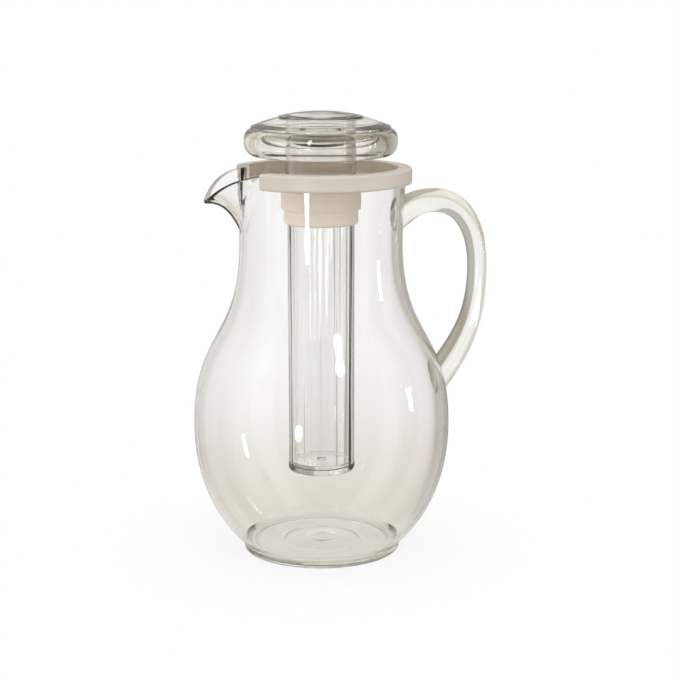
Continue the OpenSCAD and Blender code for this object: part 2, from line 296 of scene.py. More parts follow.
# %% Lamps
def make_lamp(name, place, aim, size, power, shape="RECTANGLE"):
    data = bpy.data.lights.new(name, "AREA")
    data.shape = shape
    data.size, data.size_y = size
    data.energy = power
    obj = add_object(name, data)
    obj.location = place
    obj.rotation_euler = (Vector(aim) - Vector(place)).to_track_quat("-Z", "Y").to_euler()
    return obj


def around(azimuth, reach, height):
    """A place that many degrees to the right of the jug's front, seen from above."""
    turn = math.radians(azimuth)
    return (reach * math.sin(turn), -reach * math.cos(turn), height)


jug_middle = Vector((0, 0, rim_z / 2))
make_lamp("round_left", around(-34, 1.15, 0.0), jug_middle, (0.13, 0.19), 0.9, "ELLIPSE")
make_lamp("strip_right", around(71, 1.1, 0.2), jug_middle, (0.045, 0.26), 0.5)
key_above = make_lamp("key_above", around(6, 1.02, 0.95), jug_middle, (0.2, 0.2), 3.2, "DISK")
key_above.visible_glossy = False
print("lamps:", ", ".join(lamp.name for lamp in bpy.data.lights))

# %% [markdown]
# The floor is a white disc. Close to the jug it keeps a faint shadow, further
# out it fades into the white of the ground, so that no edge is seen. A ray that
# comes through the plastic only meets it close to the jug, where it glows cream
# with a painted shadow that darkens it under the jug's foot, and otherwise goes
# on to the screens. In reflections the floor fades towards its edge, or the
# belly would mirror that edge as a line like a water level.

# %% Floor
FLOOR_R = 0.4
FLOOR_SIDES = 96
FADE_START, FADE_END = 0.06, 0.14
OPEN_START, OPEN_END = 0.05, 0.085
MIRRORED_START = 0.06
SHADOW_SHARE = 0.2
CLOTH = (0.9, 0.9, 0.9, 1)
# painted shadow: a darker tone of the floor's glow under the jug's foot, seen through the base
PAINTED_SHADOW_UNDER_JUG = (0.64, 0.61, 0.54, 1)
PAINTED_SHADOW_START, PAINTED_SHADOW_END = 0.8 * foot_r, 1.2 * foot_r


def floor_material():
    material, tree = blank_material("white_floor")
    place = add_node(tree, "ShaderNodeTexCoord").outputs["Object"]
    reach = add_node(tree, "ShaderNodeVectorMath", {0: place}, operation="LENGTH").outputs["Value"]
    path = add_node(tree, "ShaderNodeLightPath").outputs
    through = path["Is Transmission Ray"]
    seen = math_step(tree, "MAXIMUM", path["Is Camera Ray"], through)
    far = ranged(tree, reach, FADE_START, FADE_END, 1 - SHADOW_SHARE, 1.0)
    share = math_step(tree, "MULTIPLY", seen, far)
    cloth = add_node(tree, "ShaderNodeBsdfDiffuse", {"Color": CLOTH}).outputs[0]
    # seen through the plastic the floor glows cream, darkened under the jug by a painted shadow
    below = mix_color(tree, ranged(tree, reach, PAINTED_SHADOW_START, PAINTED_SHADOW_END), PAINTED_SHADOW_UNDER_JUG, CREAM)
    glow = add_node(tree, "ShaderNodeEmission", {"Color": mix_color(tree, through, WHITE, below)}).outputs[0]
    top = add_node(tree, "ShaderNodeMixShader", {0: share, 1: cloth, 2: glow}).outputs[0]
    clear = add_node(tree, "ShaderNodeBsdfTransparent").outputs[0]
    beyond = math_step(tree, "MULTIPLY", through, ranged(tree, reach, OPEN_START, OPEN_END))
    border = ranged(tree, reach, MIRRORED_START, FLOOR_R)
    mirrored = math_step(tree, "MULTIPLY", path["Is Glossy Ray"], border)
    opened = math_step(tree, "MAXIMUM", beyond, mirrored)
    mix = add_node(tree, "ShaderNodeMixShader", {0: opened, 1: top, 2: clear})
    add_node(tree, "ShaderNodeOutputMaterial", {"Surface": mix.outputs[0]})
    return material


def add_mesh(name, points, faces=()):
    mesh = bpy.data.meshes.new(name)
    mesh.from_pydata(points, [], faces)
    return mesh


def make_floor():
    angles = [math.tau * i / FLOOR_SIDES for i in range(FLOOR_SIDES)]
    corners = [(FLOOR_R * math.cos(a), FLOOR_R * math.sin(a), 0) for a in angles]
    mesh = add_mesh("floor", corners, [tuple(range(FLOOR_SIDES))])
    mesh.materials.append(floor_material())
    obj = add_object("floor", mesh)
    print("floor", 2 * FLOOR_R, "m across")


make_floor()

# %% [markdown]
# ## Clear plastic
# Clear moulded plastic bends light about as strongly as glass does, but it
# fades it a little more, with a warm tint. A tinted surface could give the
# colour, but thin and thick walls would then look alike. The fading is put in
# the volume instead, so a wall that is seen edge-on, where light travels a long
# way inside it, turns darker by itself. The surface only gets a faint swell,
# because moulded walls are never optically flat. On the drawn tube the swell is
# stronger and runs upright, which gives the fine lines along it.

# %% Clear plastic material
PLASTIC_IOR = 1.5
POLISH = 0.012
FAINT_SWELL = 0.2 * MM
LINED_SWELL = 0.8 * MM


def clear_plastic(name, fade, density, swell, swell_scale, upright=0.45):
    """A clear finish: colour and density of its fading, height and scale of its swell."""
    material, tree = blank_material(name)
    place = add_node(tree, "ShaderNodeTexCoord").outputs["Object"]
    stretched = add_node(tree, "ShaderNodeMapping", {"Vector": place, "Scale": (1, 1, upright)})
    waves = add_node(tree, "ShaderNodeTexNoise", {
        "Vector": stretched.outputs[0], "Scale": swell_scale, "Detail": 1.0, "Roughness": 0.4})
    bump = add_node(tree, "ShaderNodeBump", {
        "Height": waves.outputs[0], "Strength": 1.0, "Distance": swell})
    surface = add_node(tree, "ShaderNodeBsdfPrincipled", {
        "Base Color": WHITE, "Roughness": POLISH, "IOR": PLASTIC_IOR,
        "Transmission Weight": 1.0, "Normal": bump.outputs[0]})
    inside = add_node(tree, "ShaderNodeVolumeAbsorption", {"Color": (*fade, 1), "Density": density})
    add_node(tree, "ShaderNodeOutputMaterial", {"Surface": surface.outputs[0], "Volume": inside.outputs[0]})
    print("finish", name)
    return material


shell_clear = clear_plastic("shell_clear", (0.77, 0.765, 0.65), 17.0, FAINT_SWELL, 22)
bar_clear = clear_plastic("bar_clear", (0.8, 0.76, 0.6), 17.0, FAINT_SWELL, 40)
tube_clear = clear_plastic("tube_clear", (0.7, 0.69, 0.6), 12.0, LINED_SWELL, 260, upright=0.01)
base_clear = clear_plastic("base_clear", (0.7, 0.69, 0.6), 12.0, FAINT_SWELL, 40)
crown_clear = clear_plastic("crown_clear", (0.5, 0.4, 0.15), 22.0, FAINT_SWELL, 40)
bowl_clear = clear_plastic("bowl_clear", (0.5, 0.42, 0.15), 16.0, FAINT_SWELL, 40)

# %% [markdown]
# ## Ivory plastic
# The lid ring is an opaque satin moulding. One flat colour would do from afar,
# but close by it would look like paint. A slow cloud of noise shifts the colour
# and the gloss by a shade, and a fine grain breaks up the highlights.

# %% Ivory plastic material
IVORY_DEEP = (0.65, 0.59, 0.52, 1)
IVORY_PALE = (0.7, 0.635, 0.56, 1)
SATIN_SMOOTH, SATIN_DULL = 0.3, 0.42
CLOUD_SCALE, GRAIN_SCALE = 35, 2600
GRAIN_H, GRAIN_STRENGTH = 0.05 * MM, 0.25
IVORY_IOR = 1.49


def satin_ivory():
    material, tree = blank_material("satin_ivory")
    place = add_node(tree, "ShaderNodeTexCoord").outputs["Object"]
    cloud = add_node(tree, "ShaderNodeTexNoise", {"Vector": place, "Scale": CLOUD_SCALE, "Detail": 2})
    grain = add_node(tree, "ShaderNodeTexNoise", {"Vector": place, "Scale": GRAIN_SCALE, "Detail": 2})
    bump = add_node(tree, "ShaderNodeBump", {
        "Height": grain.outputs[0], "Strength": GRAIN_STRENGTH, "Distance": GRAIN_H})
    surface = add_node(tree, "ShaderNodeBsdfPrincipled", {
        "Base Color": mix_color(tree, cloud.outputs[0], IVORY_DEEP, IVORY_PALE),
        "Roughness": ranged(tree, cloud.outputs[0], 0.0, 1.0, SATIN_SMOOTH, SATIN_DULL, "LINEAR"),
        "IOR": IVORY_IOR, "Normal": bump.outputs[0]})
    add_node(tree, "ShaderNodeOutputMaterial", {"Surface": surface.outputs[0]})
    return material


ivory = satin_ivory()
print("finish", ivory.name)

# %% [markdown]
# ## Curves as functions
# The jug's outline is three cubic curves: foot to belly, belly to neck and
# neck to rim. The same curve function also draws the beak's rim, the handle's
# middle line and the cap's bowl. A wall's inner side is the outer line moved
# sideways by the wall's thickness.


# %% Curve helpers
def bezier(points, t):
    a, b, c, d = (Vector(p) for p in points)
    return a * (1 - t) ** 3 + b * 3 * t * (1 - t) ** 2 + c * 3 * t * t * (1 - t) + d * t ** 3


def bezier_direction(points, t):
    a, b, c, d = (Vector(p) for p in points)
    return ((b - a) * (1 - t) ** 2 + (c - b) * 2 * t * (1 - t) + (d - c) * t * t).normalized()


def curve_line(points, steps, off=0.0, skip=0):
    line = []
    for i in range(skip, steps + 1):
        t = i / steps
        p, d = bezier(points, t), bezier_direction(points, t)
        line.append(Vector((p.x - off * d.y, p.y + off * d.x)))
    return line


def arc_line(center, radius, start, end, steps):
    angles = [math.radians(start + (end - start) * i / steps) for i in range(steps + 1)]
    return [(center[0] + radius * math.cos(a), center[1] + radius * math.sin(a)) for a in angles]


# %% [markdown]
# ## A lathe in Geometry Nodes
# Tube, discs, cap and lid ring are all bodies of revolution. A Screw modifier
# could turn each of them, but one node tree with named inputs turns any outline
# and closes its seam and its poles as well. It lays a grid with one row per
# outline point, looks up each point by its row, and swings it round the Z axis
# by its column. Edges sharper than a set angle stay crisp, all others are
# shaded smooth.

# %% What both node trees share
WELD = 0.002 * MM


def node_tree_with(name, inputs, output):
    """A Geometry Nodes tree with named inputs, its first one the geometry to work on."""
    tree = bpy.data.node_groups.new(name, "GeometryNodeTree")
    for label, kind in inputs.items():
        tree.interface.new_socket(label, in_out="INPUT", socket_type="NodeSocket" + kind)
    tree.interface.new_socket(output, in_out="OUTPUT", socket_type="NodeSocketGeometry")
    return tree, add_node(tree, "NodeGroupInput").outputs


def grid_steps(tree, size_x, points_x, points_y):
    """A grid, and the place of each of its points as a separate X and Y."""
    grid = add_node(tree, "GeometryNodeMeshGrid", {
        "Size X": size_x, "Size Y": 1.0, "Vertices X": points_x, "Vertices Y": points_y})
    position = add_node(tree, "GeometryNodeInputPosition").outputs[0]
    return grid.outputs[0], add_node(tree, "ShaderNodeSeparateXYZ", {0: position}).outputs


def bent_into_shape(tree, grid, position):
    """Moves the grid's points to their places and welds its seams."""
    placed = add_node(tree, "GeometryNodeSetPosition", {"Geometry": grid, "Position": position})
    closed = add_node(tree, "GeometryNodeMergeByDistance", {"Geometry": placed.outputs[0], "Distance": WELD})
    smooth = add_node(tree, "GeometryNodeSetShadeSmooth", {"Geometry": closed.outputs[0]}, domain="FACE")
    return smooth.outputs[0]


def finish_tree(tree, geometry, finish):
    real = add_node(tree, "GeometryNodeRealizeInstances", {"Geometry": geometry})
    done = add_node(tree, "GeometryNodeSetMaterial", {"Geometry": real.outputs[0], "Material": finish})
    add_node(tree, "NodeGroupOutput", {0: done.outputs[0]})
    print(tree.name, "tree with", len(tree.nodes), "nodes")


# %% The lathe tree
def lathe_tree():
    tree, given = node_tree_with("lathe", {
        "Outline": "Geometry", "Outline points": "Int", "Steps round": "Int",
        "Sharp angle": "Float", "Finish": "Material"}, "Solid")
    rows = math_step(tree, "SUBTRACT", given["Outline points"], 1.0)
    columns = math_step(tree, "ADD", given["Steps round"], 1.0)
    grid, at = grid_steps(tree, rows, given["Outline points"], columns)
    row = math_step(tree, "ADD", at["X"], math_step(tree, "MULTIPLY", rows, 0.5))
    point = add_node(tree, "GeometryNodeSampleIndex", {
        "Geometry": given["Outline"], "Index": math_step(tree, "ROUND", row),
        "Value": add_node(tree, "GeometryNodeInputPosition").outputs[0]},
        data_type="FLOAT_VECTOR", domain="POINT")
    angle = math_step(tree, "MULTIPLY", math_step(tree, "ADD", at["Y"], 0.5), math.tau)
    swung = add_node(tree, "ShaderNodeVectorRotate", {
        "Vector": point.outputs[0], "Angle": angle}, rotation_type="Z_AXIS")
    smooth = bent_into_shape(tree, grid, swung.outputs[0])
    bend = add_node(tree, "GeometryNodeInputMeshEdgeAngle")
    crisp = add_node(tree, "FunctionNodeCompare", {
        0: bend.outputs[0], 1: given["Sharp angle"]}, data_type="FLOAT", operation="GREATER_THAN")
    edges = add_node(tree, "GeometryNodeSetShadeSmooth", {
        "Geometry": smooth, "Selection": crisp.outputs[0], "Shade Smooth": False}, domain="EDGE")
    finish_tree(tree, edges.outputs[0], given["Finish"])
    return tree


lathe = lathe_tree()


# %% Running a tree and keeping a plain mesh
def keep_result(obj):
    """Swaps the object's mesh for the one that its modifier makes."""
    bpy.context.view_layer.update()
    graph = bpy.context.evaluated_depsgraph_get()
    plain = bpy.data.meshes.new_from_object(obj.evaluated_get(graph))
    obj.modifiers.clear()
    obj.data = plain
    plain.name = obj.name


def run_tree(name, tree, mesh, settings):
    obj = add_object(name, mesh)
    modifier = obj.modifiers.new("tree", "NODES")
    modifier.node_group = tree
    for item in tree.interface.items_tree:
        if item.in_out == "INPUT" and item.name in settings:
            modifier[item.identifier] = settings[item.name]
    keep_result(obj)
    return obj


def one_material(obj, finish):
    """Leaves one slot with that finish; a converted mesh keeps an empty slot in front of it."""
    obj.data.materials.clear()
    obj.data.materials.append(finish)
    obj.data.polygons.foreach_set("material_index", [0] * len(obj.data.polygons))


def face_outward(obj):
    work = bmesh.new()
    work.from_mesh(obj.data)
    bmesh.ops.remove_doubles(work, verts=work.verts, dist=WELD)
    bmesh.ops.recalc_face_normals(work, faces=work.faces)
    if work.calc_volume(signed=True) < 0:
        bmesh.ops.reverse_faces(work, faces=work.faces)
    work.to_mesh(obj.data)
    work.free()


def turned(name, outline, finish, steps=192, sharp=32):
    mesh = add_mesh(name + "_outline", [(p[0], 0, p[1]) for p in outline])
    obj = run_tree(name, lathe, mesh, {
        "Outline points": len(outline), "Steps round": steps,
        "Sharp angle": math.radians(sharp), "Finish": finish})
    one_material(obj, finish)
    face_outward(obj)
    print(name, len(obj.data.polygons), "faces")
    return obj


# %% [markdown]
# ## Ice tube and its base
# The tube is a plain clear pipe with a flange on top that hangs in the sleeve.
# A thicker disc closes its lower end, with a rounded edge, a spigot inside the
# tube and the small nub that moulding leaves in the middle. The two touch at
# one flat face; a hair of air is left there so light sees two surfaces.
# Cylinders with a bevel would give the same shapes. On the lathe only the
# corners of an outline have to be rounded, and that is done here by a function.

# %% Softened outlines
LONG_SIDE = 2.5 * MM
SUPPORT = 0.15 * MM
CORNER_SHARE = 0.45
FLAT_TURN = math.radians(25)
TINY = 0.001 * MM


def supported(line):
    """Adds a row close to both ends of each long side, so smooth shading stays flat between them."""
    result = [line[0]]
    for p, q in zip(line, line[1:]):
        step = (q - p).normalized() * SUPPORT
        if (q - p).length > LONG_SIDE:
            result += [p + step, q - step]
        result.append(q)
    return result


def soften(outline, radius, closed=True, steps=3):
    """Rounds the corners of an outline; a corner on the axis stays."""
    result = []
    count = len(outline)
    for i, p in enumerate(outline):
        p = Vector(p)
        before, after = Vector(outline[i - 1]), Vector(outline[(i + 1) % count])
        at_end = not closed and i in (0, count - 1)
        if at_end or p.x < TINY:
            result.append(p)
            continue
        u, v = (before - p), (after - p)
        turn = math.pi - u.angle(v, math.pi)
        reach = min(radius, CORNER_SHARE * u.length, CORNER_SHARE * v.length)
        if turn < FLAT_TURN or reach < TINY:
            result.append(p)
            continue
        a, b = p + u.normalized() * reach, p + v.normalized() * reach
        for k in range(steps + 1):
            t = k / steps
            result.append(a * (1 - t) ** 2 + p * 2 * t * (1 - t) + b * t * t)
    if closed:
        result.append(result[0].copy())
    return supported(result)


# %% Ice tube
tube_r = 20.3 * MM
tube_t = 2.0 * MM
tube_inner = tube_r - tube_t
flange_r = tube_high.y
flange_t = 2.2 * MM
soft = 0.3 * MM
hair = 0.03 * MM
tube_outline = soften([
    (tube_inner, tube_low.z + hair), (tube_r, tube_low.z + hair),
    (tube_r, tube_high.z - flange_t), (flange_r, tube_high.z - flange_t),
    (flange_r, tube_high.z), (tube_inner, tube_high.z)], soft)
ice_tube = turned("ice_tube_clear", tube_outline, tube_clear)

# %% Tube base
base_r = base_high.y
base_round = 1.4 * MM
spigot_play = 0.1 * MM
spigot_r = tube_inner - spigot_play
nub_r = 2.6 * MM
nub_h = 1.2 * MM
spigot_z = base_high.z - nub_h
base_outline = soften(
    [(0, base_low.z)]
    + arc_line((base_r - base_round, base_low.z + base_round), base_round, -90, 0, 8)
    + [(base_r, tube_low.z), (spigot_r, tube_low.z), (spigot_r, spigot_z),
       (nub_r, spigot_z), (nub_r, base_high.z), (0, base_high.z)], soft, closed=False)
tube_base = turned("tube_base_clear", base_outline, base_clear)

# %% [markdown]
# ## Cap
# The cap is hollow and made of two shells. The crown is part of a large ball
# with a disc raised in its middle; under it hangs the hub that plugs into the
# sleeve. The bowl below has a thick bulging side and a flat bottom. Seen
# through each other these walls give the stack of rings in the photograph. One
# hollow body would be simpler, but it would lose the seam and the inner rings,
# so each shell is turned from its own outline.

# %% Cap top
cap_r = top_high.y
crown_z = top_high.z
crown_drop = 8.9 * MM
disc_r = 25.2 * MM
disc_step = 0.6 * MM
cap_t = 2.0 * MM
edge_t = 1.6 * MM
hub_r = 21.2 * MM
hub_in_r = hub_r - cap_t
plug_r = 37.5 * MM
plug_in_r = plug_r - cap_t
plug_h = 6.2 * MM
cap_soft = 0.4 * MM
land_z = crown_z - crown_drop - edge_t
plug_z = land_z - plug_h
foot_z = top_low.z + flange_t
dome_sag = crown_drop - disc_step
dome_r = (cap_r ** 2 + dome_sag ** 2) / (2 * dome_sag)


def dome_z(r, down=0.0):
    return crown_z - disc_step - down - dome_r + math.sqrt(dome_r ** 2 - r * r)


def dome_line(r0, r1, down, lift, steps):
    radii = [r0 + (r1 - r0) * i / steps for i in range(steps + 1)]
    return [(r, dome_z(r, down) + lift) for r in radii]


cap_outline = soften(
    dome_line(0, disc_r, 0, disc_step, 20)
    + dome_line(disc_r, cap_r, 0, 0, 14)
    + [(cap_r, land_z), (plug_r, land_z), (plug_r, plug_z), (plug_in_r, plug_z)]
    + dome_line(plug_in_r, hub_r, cap_t, 0, 10)
    + [(hub_r, foot_z), (flange_r, foot_z),
       (flange_r, top_low.z + hair), (hub_in_r, top_low.z + hair)]
    + dome_line(hub_in_r, 0, cap_t, 0, 12), cap_soft, closed=False)
cap_top = turned("cap_top_clear", cap_outline, crown_clear)

# %% Cap bowl
bowl_r = bowl_high.y
bottom_r = 39.0 * MM
bowl_top = bowl_high.z - hair
widest_share = 0.53
widest_z = bowl_low.z + widest_share * (bowl_high.z - bowl_low.z)
upper_pull_shares = (0.58, 0.61)
lower_pull_shares = (0.54, 0.61)
side_t = 6.8 * MM
side_r = bowl_r - side_t
inner_round = 2.5 * MM
bottom_z = bowl_low.z + cap_t
plug_play = 0.2 * MM
hub_hole = hub_r + plug_play
mouth_in_r = plug_r + plug_play


def between(a, b, share):
    return a + (b - a) * share


bowl_side = [
    (cap_r, bowl_top), (between(cap_r, bowl_r, upper_pull_shares[0]), bowl_top),
    (bowl_r, between(widest_z, bowl_top, upper_pull_shares[1])), (bowl_r, widest_z)]
bowl_foot = [
    (bowl_r, widest_z), (bowl_r, between(widest_z, bowl_low.z, lower_pull_shares[0])),
    (between(bottom_r, bowl_r, lower_pull_shares[1]), bowl_low.z), (bottom_r, bowl_low.z)]
bowl_outline = soften(
    [(mouth_in_r, bowl_top)] + curve_line(bowl_side, 14) + curve_line(bowl_foot, 18, 0, 1)
    + [(hub_hole, bowl_low.z), (hub_hole, bottom_z)]
    + arc_line((side_r - inner_round, bottom_z + inner_round), inner_round, -90, 0, 8)
    + [(side_r, bowl_top - cap_t), (mouth_in_r, bowl_top - cap_t)], soft)
cap_bowl = turned("cap_bowl_clear", bowl_outline, bowl_clear)

# %% [markdown]
# ## Pitcher shell
# The shell is one moulding: a turned jug whose upper neck runs out into a beak.
# A turned jug and a separate spout could be joined by a boolean, but that would
# leave a hard seam where the real wall flows. So the mesh is made of columns,
# and each is an upright slice through the axis. Away from the beak a column
# follows the outline; in front of it, the column leaves the neck where the
# beak's surface is further out, and climbs on to the beak's rim. Inner side and
# outer side are made the same way, so the wall stays even.

# %% Outline of the shell
foot_angle = math.radians(47)
foot_rise = belly_z - foot_h
neck_rise = neck_z - belly_z
rim_rise = rim_z - neck_z
foot_pull = 0.311 * foot_rise
belly_pull_shares = (0.47, 0.518)
neck_pull_shares = (0.546, 0.4)
rim_pull_share = 0.35
low_curve = [
    (foot_top_r, foot_h),
    (foot_top_r + foot_pull * math.sin(foot_angle), foot_h + foot_pull * math.cos(foot_angle)),
    (belly_r, belly_z - belly_pull_shares[0] * foot_rise), (belly_r, belly_z)]
high_curve = [
    (belly_r, belly_z), (belly_r, belly_z + belly_pull_shares[1] * neck_rise),
    (neck_r, neck_z - neck_pull_shares[0] * neck_rise), (neck_r, neck_z)]
neck_curve = [
    (neck_r, neck_z), (neck_r, neck_z + neck_pull_shares[1] * rim_rise),
    (rim_r, rim_z - rim_pull_share * rim_rise), (rim_r, rim_z)]

# %% The beak's rim and keel
tip_d = 71.4 * MM
tip_w = 2.6 * MM
tip_drop = 15.6 * MM
lip_t = 2.2 * MM
keel_z = 198.0 * MM
beak_half = math.radians(31.5)
shoulder_d = 59.6 * MM
shoulder_w = 23.2 * MM
shoulder_turn = math.radians(60)
DROP_POWER = 3.3
KEEL_POWER = 2.7
VEE_POWER = 1.5


def beak_rim(t, off):
    """A point of the beak's rim as distance from the axis, half width and height."""
    root = Vector((math.cos(beak_half), math.sin(beak_half))) * (rim_r - off)
    shoulder = (shoulder_d - off * math.cos(shoulder_turn), shoulder_w - off * math.sin(shoulder_turn))
    p = bezier([root, root, shoulder, (tip_d - off, tip_w - off / 2)], t)
    return p.x, p.y, rim_z - tip_drop * t ** DROP_POWER


# %% [markdown]
# Working all this out point by point would be slow, so the outline and the
# beak's rim are tabulated once for each side of the wall and then read off by
# interpolation.

# %% Tables of the beak and of the outline
LOW_TABLE, HIGH_TABLE, NECK_TABLE, RIM_TABLE = 60, 90, 60, 400


def outline_table(off):
    points = curve_line(low_curve, LOW_TABLE, off)
    points += curve_line(high_curve, HIGH_TABLE, off, 1) + curve_line(neck_curve, NECK_TABLE, off, 1)
    return np.array([(p.x, p.y) for p in points])


def rim_table(off):
    return np.array([beak_rim(i / RIM_TABLE, off) for i in range(RIM_TABLE + 1)])


OUTLINES = {0.0: outline_table(0.0), wall: outline_table(wall)}
RIMS = {0.0: rim_table(0.0), wall: rim_table(wall)}
print("tables of", len(OUTLINES[0.0]), "outline points and", len(RIMS[0.0]), "rim points")


def radius_at(z, off):
    """The jug's radius at a height; off is 0 for the outer side and the wall for the inner."""
    return np.interp(z, OUTLINES[off][:, 1], OUTLINES[off][:, 0])


def beak_surface(rho, theta, off):
    """For points of one column: the beak's surface, its rim, and how far they lie past it."""
    d, y = rho * math.cos(theta), np.abs(rho * math.sin(theta))
    table = RIMS[off]
    half = np.interp(d, table[:, 0], table[:, 1])
    top = np.interp(d, table[:, 0], table[:, 2])
    start, end = neck_r - off, tip_d - off / 2
    s = np.clip((d - start) / (end - start), 0, 1)
    keel = keel_z + off + (rim_z - tip_drop - lip_t - keel_z) * (1 - (1 - s) ** KEEL_POWER)
    low = np.minimum(keel, top - lip_t + off)
    share = np.clip(y / half, 0, 1) ** VEE_POWER
    return np.minimum(low + (top - low) * share, top), top, y - half


# %% [markdown]
# A column starts on the neck, meets the beak where the two surfaces cross, and
# then follows the beak. The crossing is eased by a short curve, as moulded
# plastic has no sharp inner corner there.

# %% One column of the wall
NECK_START = 195.0 * MM
BEAK_EASE = 6.0 * MM
BEFORE_SHARE, AFTER_SHARE = 0.8, 0.45
SHORTEST = 0.01 * MM
NECK_POINTS, BEAK_POINTS, EASE_POINTS = 160, 400, 12


def lengths_along(points):
    return np.r_[0, np.cumsum(np.linalg.norm(np.diff(points, axis=0), axis=1))]


def eased(points, corner, reach):
    """Replaces the corner of a polyline by a curve that starts and ends a little way off."""
    steps = lengths_along(points)
    at = steps[corner]
    before, after = min(reach, BEFORE_SHARE * at), min(reach, AFTER_SHARE * (steps[-1] - at))
    if before < SHORTEST or after < SHORTEST:
        return points

    def along(s):
        return np.array([np.interp(s, steps, points[:, 0]), np.interp(s, steps, points[:, 1])])

    a, b, c = along(at - before), points[corner], along(at + after)
    shares = np.linspace(0, 1, EASE_POINTS)
    bend = [a * (1 - t) ** 2 + b * 2 * t * (1 - t) + c * t * t for t in shares]
    return np.vstack([points[steps < at - before], bend, points[steps > at + after]])


def column(theta, off, count):
    """Points (radius, height) of one side of the wall, from the neck up to its rim."""
    heights = np.linspace(NECK_START, rim_z, NECK_POINTS)
    radii = radius_at(heights, off)
    points = np.column_stack([radii, heights])
    if abs(theta) < beak_half:
        surface, _, _ = beak_surface(radii, theta, off)
        inside = np.nonzero(heights >= surface)[0]
        first = inside[0] if len(inside) else len(heights) - 1
        far = (tip_d - off) / math.cos(theta)
        rho = np.linspace(radii[first], far, BEAK_POINTS)
        surface, top, past = beak_surface(rho, theta, off)
        out = np.nonzero(past >= 0)[0]
        last = out[0] if len(out) and out[0] > 0 else len(rho) - 1
        rho, surface, top = rho[:last + 1], surface[:last + 1], top[last]
        climb = np.column_stack([rho, surface])
        points = np.vstack([points[:first + 1], climb[1:], [(rho[-1], top)]])
        points = eased(points, first, BEAK_EASE)
    length = lengths_along(points)
    stops = np.linspace(0, length[-1], count)
    return np.column_stack([np.interp(stops, length, points[:, axis]) for axis in (0, 1)])


# %% The rim's top
RIM_SOFT = 0.7 * MM
RIM_POINTS = 5


def rounded_rim(outer, inner):
    """The rim's top between the two sides of the wall, with both corners rounded."""
    a, b = outer[-1], inner[-1]
    reach = min(RIM_SOFT, CORNER_SHARE * np.linalg.norm(b - a))
    shares = np.linspace(0, 1, RIM_POINTS)
    points = []
    for corner, back, ahead in ((a, outer[-2], b), (b, a, inner[-2])):
        u, v = back - corner, ahead - corner
        p = corner + u / np.linalg.norm(u) * min(reach, np.linalg.norm(u))
        q = corner + v / np.linalg.norm(v) * min(reach, np.linalg.norm(v))
        points += [p * (1 - t) ** 2 + corner * 2 * t * (1 - t) + q * t * t for t in shares]
    return np.array(points)


# %% [markdown]
# The columns stand closer together across the beak than round the back. Below
# the neck all columns are the same, so that part of the outline is made once.
# The base is pushed up in its middle, and its upper side has two low rings.

# %% Foot and floor of the shell
RIDGE_H = 0.1 * MM
RIDGE_HALF = 2.0 * MM
RIDGE_STEPS = 5
FOOT_SOFT, FLOOR_SOFT = 0.6 * MM, 0.2 * MM
LOW_STEPS, HIGH_STEPS = 44, 58
JOIN_STEP = 2
low_outside = curve_line(low_curve, LOW_STEPS)
low_inside = curve_line(low_curve, LOW_STEPS, wall)


def ridge(radius, z):
    """A low moulded ring on the floor, with gentle sides that don't bend light far."""
    shares = [i / RIDGE_STEPS for i in range(-RIDGE_STEPS, RIDGE_STEPS + 1)]
    return [(radius + RIDGE_HALF * s, z + RIDGE_H * (1 + math.cos(math.pi * s)) / 2) for s in shares]


foot_outline = soften([
    (0, push_h), (mark_r, push_h), (push_r, recess_h), (rest_r - recess_h, recess_h),
    (rest_r, 0), (foot_r, 0), (foot_top_r, foot_h), low_outside[JOIN_STEP]], FOOT_SOFT, closed=False)
floor_outline = soften(
    [(0, push_h + wall)] + ridge(mark_r, push_h + wall) + ridge(push_r, recess_h + wall)
    + [(foot_top_r - 2 * wall, recess_h + wall), low_inside[0], low_inside[JOIN_STEP]],
    FLOOR_SOFT, closed=False)
print("foot", len(foot_outline), "points, floor", len(floor_outline), "points")


def common_side(bottom, low_side, off):
    """One side of the wall from the axis, over foot and belly, to just above the neck."""
    rest = low_side[JOIN_STEP + 1:] + curve_line(high_curve, HIGH_STEPS, off, 1)
    heights = np.linspace(neck_z, NECK_START, 4)[1:-1]
    rest += [Vector((radius_at(z, off), z)) for z in heights]
    return np.array([(p[0], p[1]) for p in list(bottom) + rest])


# %% Shell mesh
BEAK_COLUMNS = 120
BACK_COLUMNS = 126
BEAK_SPREAD = math.radians(34)
COLUMN_POINTS = 56


def shell_angles():
    front = np.linspace(-BEAK_SPREAD, BEAK_SPREAD, BEAK_COLUMNS + 1)
    back = np.linspace(BEAK_SPREAD, math.tau - BEAK_SPREAD, BACK_COLUMNS + 1)
    return np.concatenate([front, back[1:-1]])


def make_shell():
    outside = common_side(foot_outline, low_outside, 0.0)
    inside = common_side(floor_outline, low_inside, wall)
    rows = []
    for theta in shell_angles():
        outer, inner = column(theta, 0.0, COLUMN_POINTS), column(theta, wall, COLUMN_POINTS)
        rim = rounded_rim(outer, inner)
        line = np.vstack([outside, outer[:-1], rim, inner[:-1][::-1], inside[::-1]])
        radius, z = line[:, 0], line[:, 1]
        rows.append(np.column_stack([-radius * math.cos(theta), radius * math.sin(theta), z]))
    points = np.array(rows)
    columns, height = points.shape[:2]
    faces = []
    for i in range(columns):
        j = (i + 1) % columns
        for k in range(height - 1):
            faces.append((i * height + k, i * height + k + 1, j * height + k + 1, j * height + k))
    mesh = add_mesh("pitcher_shell", points.reshape(-1, 3).tolist(), faces)
    obj = add_object("pitcher_shell", mesh)
    mesh.materials.append(shell_clear)
    face_outward(obj)
    mesh.shade_smooth()
    print("shell", len(mesh.polygons), "faces")
    return obj


pitcher_shell = make_shell()

# %% [markdown]
# ## Handle
# The handle is a solid bar of oval section, thick at its two welds and slimmer
# at the grip. A curve with an oval bevel could be made thicker at its points,
# but its ends are cut straight, and these have to follow the jug's wall. So a
# second node tree sweeps the bar: each column of a grid is one line along it,
# and starts and ends exactly where that line meets the jug. The shares below
# tell how far the curves' inner points reach from one named place to the next.

